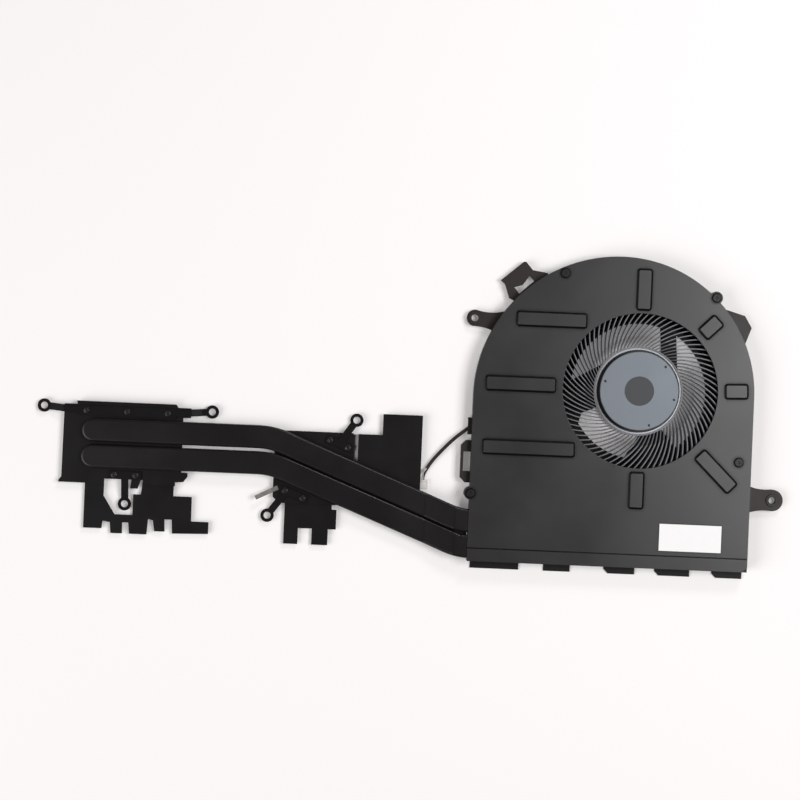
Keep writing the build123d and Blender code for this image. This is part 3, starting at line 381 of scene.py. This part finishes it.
class FanShellOperator(bpy.types.Operator):
    """Finish the cover, frame, base plate, fins and label of the fan"""

    bl_idname = "heatsink.fan_shell"
    bl_label = "Finish the fan's shell"

    def execute(self, context):
        finish = context.scene.heatsink_finish
        # Black e-coat on stamped steel: satin, with a fine even grain
        cover = surface("e_coated_steel_cover", finish.cover, 0.34, contrast=0.08,
                        patch=30 * MM, grain=0.35 * MM, grain_height=0.006 * MM, edge=0.2 * MM,
                        specular=0.64)
        # Painted shade darkens the cover round the foot of each rib, screw head and label
        paint_foot_shade(cover, 1.5 * MM)
        # The stamped slopes and cut edges get a far darker, duller copy of the coat: painted shade
        # along the ribs' sides
        slopes = surface("e_coated_steel_slopes", shade(finish.cover, 0.2), 0.5, patch=5 * MM,
                         edge=0.1 * MM, specular=0.15)
        # The same coat on the base plate is nearly matt, so the tabs stay dark
        base = surface("e_coated_steel_base", finish.plate, 0.5, grain=0.35 * MM,
                       grain_height=0.008 * MM, specular=0.22)
        # Glass-filled PBT, moulded: slightly uneven gloss and a spark-eroded grain
        frame_plastic = surface("moulded_black_pbt", finish.plastic, 0.48, patch=9 * MM,
                                grain=0.25 * MM, grain_height=0.012 * MM, edge=0.2 * MM,
                                specular=0.4)
        # Folded fins in a black coat: dull, with thin crisp edges
        fins = surface("black_coated_fins", finish.plate, 0.5, edge=0.03 * MM)
        # Uncoated label paper: matt, with a faint fibre
        paper = surface("label_paper", finish.label, 0.7, contrast=0.02, patch=3 * MM,
                        grain=0.12 * MM, grain_height=0.004 * MM, edge=0.03 * MM)
        finish_nodes(cover, "fan_cover")
        finish_faces(slopes, "fan_cover", lambda centre, normal: abs(normal.z) < COVER_LEVEL)
        finish_nodes(base, "fan_base_plate")
        finish_nodes(frame_plastic, "fan_frame")
        finish_nodes(fins, "fin_stack")
        finish_nodes(paper, "fan_label")
        return {"FINISHED"}


class ImpellerOperator(bpy.types.Operator):
    """Finish the impeller, its rotor cup and the disc on it"""

    bl_idname = "heatsink.impeller"
    bl_label = "Finish the impeller"

    def execute(self, context):
        finish = context.scene.heatsink_finish
        # Liquid-crystal polymer, moulded thin: grey and a little shiny on the blades
        blades = surface("moulded_grey_lcp", finish.blade, 0.36, patch=5 * MM, grain=0.2 * MM,
                         grain_height=0.004 * MM, edge=0.04 * MM)
        # Deep-drawn steel, turned on its end: blue-grey with fine rings, drawn 0.45 mm apart
        cup = surface("turned_steel_cup", finish.cup, 0.44, metallic=0.4, contrast=0.05,
                      patch=8 * MM, grain=0.2 * MM, grain_height=0.002 * MM, edge=0.1 * MM)
        add_turned_rings(cup, 0.45 * MM, 0.003 * MM)
        # The drawn wall and the groove at its foot are painted near-black as painted shade, and the
        # floors of the balancing marks are drawn as dark dots
        cup_shade_and_marks = surface("black_oxide_steel", linear("#08080a"), 0.5)
        # The lip is turned bright, and its pale colour is partly a painted highlight
        lip = surface("bright_turned_steel", finish.lip, 0.3, metallic=0.3, contrast=0.03)
        # Printed polyester film: flat grey and matt
        disc = surface("printed_film_disc", finish.disc, 0.5, contrast=0.04, patch=4 * MM,
                       grain=0.2 * MM, grain_height=0.003 * MM, edge=0.03 * MM,
                       specular=0.25)
        # Pressed ferrite: dark grey and dull
        magnet = surface("pressed_ferrite", linear("#35363a"), 0.6)
        # Ground and hardened steel: smooth and bright
        steel = surface("ground_steel_shaft", linear("#b8b9bd"), 0.25, metallic=1.0,
                        contrast=0.03, grain_height=0.001 * MM, edge=0.05 * MM)
        finish_nodes(blades, "impeller")
        finish_nodes(cup, "rotor_cup")
        finish_faces(cup_shade_and_marks, "rotor_cup", self.is_dark)
        finish_faces(lip, "rotor_cup",
                     lambda centre, normal: centre.xy.length > CUP_LIP_R and normal.z > FACING)
        finish_nodes(disc, "centre_disc")
        finish_nodes(magnet, "magnet_ring")
        finish_nodes(steel, "rotor_shaft")
        return {"FINISHED"}

    def is_dark(self, centre, normal):
        """Tell whether a face lies on the cup's wall, its foot or a balancing mark."""
        in_mark = MARK_FLOOR[0] < centre.z < MARK_FLOOR[1] and normal.z > FACING
        return in_mark or centre.z < CUP_WALL_TOP


class MotorOperator(bpy.types.Operator):
    """Finish the bearing, stator and board of the motor"""

    bl_idname = "heatsink.motor"
    bl_label = "Finish the motor"

    def execute(self, context):
        copper = context.scene.heatsink_finish.copper
        # Turned brass: warm and softly bright
        brass = surface("turned_brass", linear("#b59a5c"), 0.35, metallic=1.0, contrast=0.06)
        # Stamped silicon steel: grey, with a dull insulating film
        core = surface("stamped_silicon_steel", linear("#6d7077"), 0.5, metallic=0.8)
        # Enamelled copper wire, wound in turns of 0.2 mm: glossy, with painted shade in the gaps
        coils = surface("enamelled_copper_wire", copper, 0.3, metallic=0.7)
        add_windings_with_painted_shade(coils, 0.2 * MM, copper)
        # Glass-epoxy board under green solder mask: a smooth half gloss
        board = surface("solder_mask_board", linear("#1d4a2b"), 0.35, contrast=0.1)
        # Flexible film circuit: brown, with a slight shine
        film = surface("brown_film_lead", linear("#2b211c"), 0.4, edge=0.02 * MM)
        # Moulded acetal: dark and smooth
        pad = surface("thrust_pad_plastic", linear("#2d2d30"), 0.5)
        finish_nodes(brass, "bearing_housing", "bearing_sleeve")
        finish_nodes(core, "stator_core")
        finish_nodes(coils, "stator_coils")
        finish_nodes(board, "motor_board")
        finish_nodes(film, "motor_lead")
        finish_nodes(pad, "thrust_pad")
        return {"FINISHED"}


class HeatPipeOperator(bpy.types.Operator):
    """Finish the two flat heat pipes"""

    bl_idname = "heatsink.heat_pipes"
    bl_label = "Finish the heat pipes"

    def execute(self, context):
        finish = context.scene.heatsink_finish
        # Pressed copper tube with a satin black coat: long soft highlights on its round edges
        pipe = surface("black_coated_copper_tube", finish.plate, 0.3, patch=20 * MM,
                       contrast=0.15, grain=0.4 * MM, grain_height=0.005 * MM, edge=0.05 * MM,
                       specular=0.42)
        finish_nodes(pipe, "heat_pipe_upper", "heat_pipe_lower")
        return {"FINISHED"}


class ColdPlateOperator(bpy.types.Operator):
    """Finish the plates, springs, sheets and ground finger of both blocks"""

    bl_idname = "heatsink.cold_plates"
    bl_label = "Finish the cold plates"

    def execute(self, context):
        finish = context.scene.heatsink_finish
        # Black coat on stamped steel plate: almost matt, and cloudy where it was dipped
        plate = surface("black_coated_steel_plate", finish.plate, 0.42, patch=12 * MM,
                        contrast=0.2, grain=0.3 * MM, grain_height=0.008 * MM, edge=0.12 * MM,
                        specular=0.2)
        # Blackened spring steel: darker and duller than the plates under it
        spring = surface("black_spring_steel", finish.plate, 0.5, patch=8 * MM,
                         contrast=0.2, grain=0.3 * MM, grain_height=0.006 * MM, edge=0.15 * MM,
                         specular=0.12)
        # Milled copper: warm, with a fine cut over it
        copper = surface("milled_copper", finish.copper, 0.3, metallic=1.0, contrast=0.06,
                         patch=6 * MM, grain=0.2 * MM, grain_height=0.003 * MM)
        # Thin beryllium copper, plated: pale, with a soft and slightly cloudy shine
        finger = surface("plated_spring_strip", finish.finger, 0.35, metallic=0.6,
                         contrast=0.1, patch=2 * MM, edge=0.03 * MM)
        finish_nodes(plate, "cpu_carrier_plate", "gpu_carrier_plate", "cpu_side_sheet",
                     "gpu_side_sheet", "gpu_lower_sheet")
        finish_nodes(spring, "cpu_top_spring", "cpu_lower_spring", "gpu_upper_spring",
                     "gpu_lower_spring")
        # The bend of the side sheet is rubbed bright
        bend = surface("rubbed_steel_bend", linear("#545457"), 0.3, metallic=0.5, contrast=0.1,
                       patch=2 * MM)
        finish_faces(bend, "gpu_side_sheet", self.is_bend)
        finish_nodes(copper, "cpu_cold_plate", "gpu_cold_plate")
        finish_nodes(finger, "ground_finger")
        return {"FINISHED"}

    def is_bend(self, centre, normal):
        """Tell whether a face of the side sheet lies on its bend."""
        return centre.x < SHEET_BEND_X and BEND_SLOPES[0] < normal.z < BEND_SLOPES[1]


class CoverScrewOperator(bpy.types.Operator):
    """Model one cross-recessed screw and copy it to each boss of the cover"""

    bl_idname = "heatsink.cover_screws"
    bl_label = "Add the cover screws"

    # Length, thickness and height of one blade of the cross, with half its height in the head
    cross_blade = (1.5 * MM, 0.34 * MM, 0.6 * MM)

    def execute(self, context):
        sizes = context.scene.heatsink_fasteners
        shank = COVER_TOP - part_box("cover_screws")[0][2]
        screw = round_head(sizes.screw_head_radius, sizes.screw_head_height,
                           sizes.screw_radius, shank, 40)
        round_edges(screw, 0.22 * MM, 4)
        deselect_all()
        # Two crossed blades cut the recess
        for turn in (0, math.pi / 2):
            bpy.ops.mesh.primitive_cube_add(size=1, location=(0, 0, sizes.screw_head_height),
                                            rotation=(0, 0, turn))
            blade = bpy.context.object
            blade.scale = self.cross_blade
            deselect_all()
            screw.select_set(True)
            bpy.context.view_layer.objects.active = screw
            apply_modifier(screw, "BOOLEAN", object=blade, operation="DIFFERENCE",
                           solver="EXACT")
            bpy.data.objects.remove(blade)
        # Blackened screw steel: a soft shine, worn unevenly
        steel = surface("black_screw_steel", context.scene.heatsink_finish.plate, 0.4,
                        contrast=0.2, patch=1 * MM, edge=0.06 * MM, specular=0.35)
        place_copies(screw, "cover_screws", COVER_TOP, "cover_screw", steel,
                     turn=0.7)
        bpy.data.objects.remove(screw)
        return {"FINISHED"}


class RivetOperator(bpy.types.Operator):
    """Model one domed rivet and copy it to each rivet place of the spring leaves"""

    bl_idname = "heatsink.rivets"
    bl_label = "Add the rivets"

    def execute(self, context):
        sizes = context.scene.heatsink_fasteners
        height = sizes.rivet_head_height
        rivet = round_head(sizes.rivet_head_radius, height, sizes.rivet_radius,
                           RIVET_TOP - height - RIVET_FOOT, 28)
        round_edges(rivet, 0.28 * MM, 4)
        # The setting punch leaves a shallow dimple in the flat of the head
        dimple = 0.12 * MM
        bpy.ops.object.mode_set(mode="EDIT")
        select_faces(lambda face: face.normal.z > 0.99
                     and face.calc_center_median().z > height / 2)
        bpy.ops.mesh.inset(thickness=0.3 * MM, depth=0)
        bpy.ops.mesh.inset(thickness=dimple, depth=-dimple)
        bpy.ops.object.mode_set(mode="OBJECT")
        # Blackened rivet steel: polished by the punch, so each dome holds a small highlight
        steel = surface("black_rivet_steel", context.scene.heatsink_finish.plate, 0.22,
                        contrast=0.2, patch=1 * MM, edge=0.05 * MM, specular=1.0)
        for block in ("cpu", "gpu"):
            place_copies(rivet, f"{block}_rivets", RIVET_TOP - height, f"{block}_rivet",
                         steel)
        bpy.data.objects.remove(rivet)
        return {"FINISHED"}


# Control points of the cable, the same as in the part's source
CABLE_ROUTE = [(x * MM, y * MM, z * MM) for x, y, z in (
    (-55.6, -12.0, 1.35),
    (-59.6, -14.2, 1.6),
    (-63.2, -17.3, 1.9),
    (-66.6, -20.0, 2.0),
    (-70.4, -23.9, 1.7),
    (-74.0, -28.0, 1.2),
    (-76.4, -31.6, 0.8),
    (-77.2, -34.2, 0.7),
    (-77.2, -35.8, 0.7),
)]
SLEEVE_POINTS = 7       # the sleeve ends here, and one wire goes on to the plug
WIRE_ENTRIES = (-80.3, -79.0, -77.9)    # where the other wires enter the plug, along X, in mm
WIRE_GAP = 0.35 * MM        # between the wires where they leave the sleeve
WIRE_STEP = 0.1 * MM        # each wire leaves the sleeve this much higher
SLACK_PLACE = 2.2 * MM      # a wire's slack stands this far before the plug
SLACK_HEIGHT = 1.0 * MM     # the first wire's slack stands this high over the table
SLACK_STEP = 0.25 * MM      # and each wire's slack this much higher than the last


def smooth_line(name, points, diameter, radii=None):
    """Return a curve object: one smooth spline with a round section."""
    curve = bpy.data.curves.new(name, "CURVE")
    curve.dimensions = "3D"
    curve.bevel_depth = diameter / 2
    curve.bevel_resolution = 6
    curve.resolution_u = 10
    curve.use_fill_caps = True
    spline = curve.splines.new("NURBS")
    spline.points.add(len(points) - 1)
    for index, (point, place) in enumerate(zip(spline.points, points)):
        point.co = (*place, 1.0)
        point.radius = radii[index] if radii else 1.0
    spline.order_u = 3
    spline.use_endpoint_u = True
    line = bpy.data.objects.new(name, curve)
    bpy.context.collection.objects.link(line)
    return line


class FanCableOperator(bpy.types.Operator):
    """Lay the fan cable from the frame's slot to its plug, with its plug and loose wires"""

    bl_idname = "heatsink.fan_cable"
    bl_label = "Add the fan cable"

    def execute(self, context):
        sizes = context.scene.heatsink_cable
        finish = context.scene.heatsink_finish
        # Extruded PVC sleeve: soft black with a slight shine
        sleeve = surface("black_pvc_sleeve", finish.cable, 0.45, patch=3 * MM, contrast=0.2,
                         grain=0.2 * MM, grain_height=0.01 * MM, edge=0.05 * MM)
        # Thin insulation of the wires past the sleeve's end: pale and smooth
        insulation = surface("pale_wire_insulation", finish.wire, 0.35, patch=2 * MM,
                             grain=0.15 * MM, grain_height=0.003 * MM, edge=0.03 * MM)
        plug = self.model_plug(finish)
        thin = sizes.wire / sizes.diameter
        radii = [1.0] * SLEEVE_POINTS + [thin] * (len(CABLE_ROUTE) - SLEEVE_POINTS)
        cable = smooth_line("fan_cable_sleeve", CABLE_ROUTE, sizes.diameter, radii)
        cable.data.materials.append(sleeve)
        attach(cable, HOUSING)
        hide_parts("fan_cable")
        wires = self.lay_wires(sizes.wire, insulation)
        return {"FINISHED"}

    def lay_wires(self, diameter, insulation):
        """Lay the loose wires side by side from the sleeve's end to the plug, each with slack."""
        leg_start, sleeve_end = [Vector(point) for point in
                                 CABLE_ROUTE[SLEEVE_POINTS - 2:SLEEVE_POINTS]]
        start = leg_start.lerp(sleeve_end, 0.8)     # hidden just inside the sleeve
        _, end_y, end_z = CABLE_ROUTE[-1]
        wires = []
        for index, end_x in enumerate(WIRE_ENTRIES):
            side = (index - 1) * WIRE_GAP
            root = start + Vector((side, side, WIRE_STEP * index))
            slack = Vector((end_x * MM, end_y + SLACK_PLACE, SLACK_HEIGHT + SLACK_STEP * index))
            entry = Vector((end_x * MM, end_y, end_z))
            wire = smooth_line(f"fan_cable_wire_{index + 1}",
                               [root, root.lerp(slack, 0.45), slack, entry], diameter)
            wire.data.materials.append(insulation)
            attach(wire, HOUSING)
            wires.append(wire)
        return wires

    def model_plug(self, finish):
        """Model the plug's housing, with its open mouth and a shallow panel on its top."""
        low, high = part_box("fan_plug")
        draft = 0.02 * MM
        deselect_all()
        bpy.ops.mesh.primitive_cube_add(size=1, location=(low + high) / 2)
        plug = bpy.context.object
        plug.scale = high - low
        bpy.ops.object.transform_apply(location=True, scale=True)
        bpy.ops.object.mode_set(mode="EDIT")
        # The mouth leaves a wall of 0.25 mm
        select_faces(lambda face: face.normal.y < -FACING)
        bpy.ops.mesh.inset(thickness=0.25 * MM, depth=0)
        bpy.ops.mesh.inset(thickness=draft, depth=-0.6 * MM)
        # The panel leaves a rim of 0.5 mm
        select_faces(lambda face: face.normal.z > FACING
                     and face.calc_center_median().z > high.z - 0.1 * MM)
        bpy.ops.mesh.inset(thickness=0.5 * MM, depth=0)
        bpy.ops.mesh.inset(thickness=draft, depth=-0.2 * MM)
        bpy.ops.object.mode_set(mode="OBJECT")
        round_edges(plug, 0.12 * MM, 2)
        # Moulded nylon: milky white and slightly glossy
        nylon = surface("moulded_nylon_plug", finish.plug, 0.4, patch=2 * MM,
                        grain=0.2 * MM, grain_height=0.006 * MM, edge=0.05 * MM)
        settle(plug, "fan_cable_plug", HOUSING, nylon)
        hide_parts("fan_plug")
        return plug


# Name, power setting, side, place and target of each lamp
LAMPS = (
    ("key_lamp", "key", 0.4, (0.43, 0.05, 0.75), (-0.03, 0, 0)),
    ("fill_lamp", "fill", 0.2, (0.22, 0.75, 0.6), (-0.08, 0, 0)),
    ("left_lamp", "left", 0.7, (-0.8, -0.3, 0.6), (-0.08, 0, 0)),
)
TABLE_SIDE = 6.0
TABLE_GAP = 0.05 * MM       # keeps the table clear of the module's flat underside
TABLE_GLOW = 0.15       # share of the table's white that doesn't come from the lamps
CAMERA_X = -87.2 * MM       # the camera hangs over the middle of the module
CAMERA_Y = -6.9 * MM
CAMERA_CLIP = 0.01


def add_lamp(name, power, side, place, target):
    """Add a soft square lamp that looks at a target."""
    deselect_all()
    bpy.ops.object.light_add(type="AREA", location=place)
    lamp = bpy.context.object
    lamp.name = name
    lamp.data.energy = power
    lamp.data.size = side
    aim = Vector(target) - Vector(place)
    lamp.rotation_euler = aim.to_track_quat("-Z", "Y").to_euler()


class StageOperator(bpy.types.Operator):
    """Set the white table, the lamps and the camera straight overhead"""

    bl_idname = "heatsink.stage"
    bl_label = "Set the stage"

    def execute(self, context):
        stage = context.scene.heatsink_stage
        context.scene.view_settings.view_transform = "Standard"
        deselect_all()
        bpy.ops.mesh.primitive_plane_add(size=TABLE_SIDE, location=(0, 0, -TABLE_GAP))
        table = bpy.context.object
        table.name = "white_table"
        table.data.materials.append(self.table_material(stage))
        for name, power, side, place, target in LAMPS:
            add_lamp(name, getattr(stage, power), side, place, target)
        world = bpy.data.worlds.new("room")
        world.use_nodes = True
        background = world.node_tree.nodes["Background"]
        background.inputs["Color"].default_value = stage.room
        background.inputs["Strength"].default_value = stage.sky
        context.scene.world = world
        deselect_all()
        bpy.ops.object.camera_add(location=(CAMERA_X, CAMERA_Y, stage.camera_height),
                                  rotation=(0, 0, stage.roll))
        camera = bpy.context.object
        camera.name = "overhead_camera"
        camera.data.lens = camera.data.sensor_width / 2 / math.tan(stage.field / 2)
        camera.data.clip_start = CAMERA_CLIP
        context.scene.camera = camera
        return {"FINISHED"}

    def table_material(self, stage):
        """Return a white table that looks lit to the camera but keeps the object's shadow."""
        # White laminate, pressed smooth: plain and matt, a little brighter than the lamps make it
        material = bpy.data.materials.new("white_laminate_table")
        material.use_nodes = True
        tree = material.node_tree
        tree.nodes.clear()
        path = add_node(tree, "ShaderNodeLightPath")
        seen = add_node(tree, "ShaderNodeMath",
                        {0: path.outputs["Is Camera Ray"], 1: path.outputs["Is Glossy Ray"]},
                        operation="MAXIMUM")
        seen = add_node(tree, "ShaderNodeMath",
                        {0: seen.outputs["Value"], 1: path.outputs["Is Transmission Ray"]},
                        operation="MAXIMUM")
        white = add_node(tree, "ShaderNodeBsdfDiffuse", {"Color": stage.floor})
        glow = add_node(tree, "ShaderNodeEmission",
                        {"Color": stage.glow, "Strength": seen.outputs["Value"]})
        mixed = add_node(tree, "ShaderNodeMixShader",
                         {"Fac": TABLE_GLOW, 1: white.outputs["BSDF"],
                          2: glow.outputs["Emission"]})
        add_node(tree, "ShaderNodeOutputMaterial", {"Surface": mixed.outputs["Shader"]})
        return material


OPERATORS = (
    FanShellOperator,
    ImpellerOperator,
    MotorOperator,
    HeatPipeOperator,
    ColdPlateOperator,
    CoverScrewOperator,
    RivetOperator,
    FanCableOperator,
    StageOperator,
)

SETTINGS = {
    "heatsink_finish": FinishSettings,
    "heatsink_fasteners": FastenerSettings,
    "heatsink_cable": CableSettings,
    "heatsink_stage": StageSettings,
}


class CoolingPanel(bpy.types.Panel):
    """List the steps that dress the cooling module"""

    bl_idname = "VIEW3D_PT_heatsink"
    bl_label = "Cooling module"
    bl_space_type = "VIEW_3D"
    bl_region_type = "UI"
    bl_category = "Cooling"

    def draw(self, context):
        for operator in OPERATORS:
            self.layout.operator(operator.bl_idname)
        for group in SETTINGS:
            settings = getattr(context.scene, group)
            for name in settings.bl_rna.properties.keys():
                if name not in ("rna_type", "name"):
                    self.layout.prop(settings, name)


def register():
    """Register the settings, the operators and the panel."""
    for name, group in SETTINGS.items():
        bpy.utils.register_class(group)
        setattr(bpy.types.Scene, name, bpy.props.PointerProperty(type=group))
    for operator in OPERATORS:
        bpy.utils.register_class(operator)
    bpy.utils.register_class(CoolingPanel)


def unregister():
    """Take the panel, the operators and the settings away again."""
    bpy.utils.unregister_class(CoolingPanel)
    for operator in reversed(OPERATORS):
        bpy.utils.unregister_class(operator)
    for name, group in SETTINGS.items():
        delattr(bpy.types.Scene, name)
        bpy.utils.unregister_class(group)


def main():
    """Dress the module step by step."""
    register()
    bpy.ops.heatsink.stage()
    bpy.ops.heatsink.fan_cable()
    bpy.ops.heatsink.fan_shell()
    bpy.ops.heatsink.impeller()
    bpy.ops.heatsink.motor()
    bpy.ops.heatsink.heat_pipes()
    bpy.ops.heatsink.cold_plates()
    bpy.ops.heatsink.cover_screws()
    bpy.ops.heatsink.rivets()


if __name__ == "__main__":
    main()
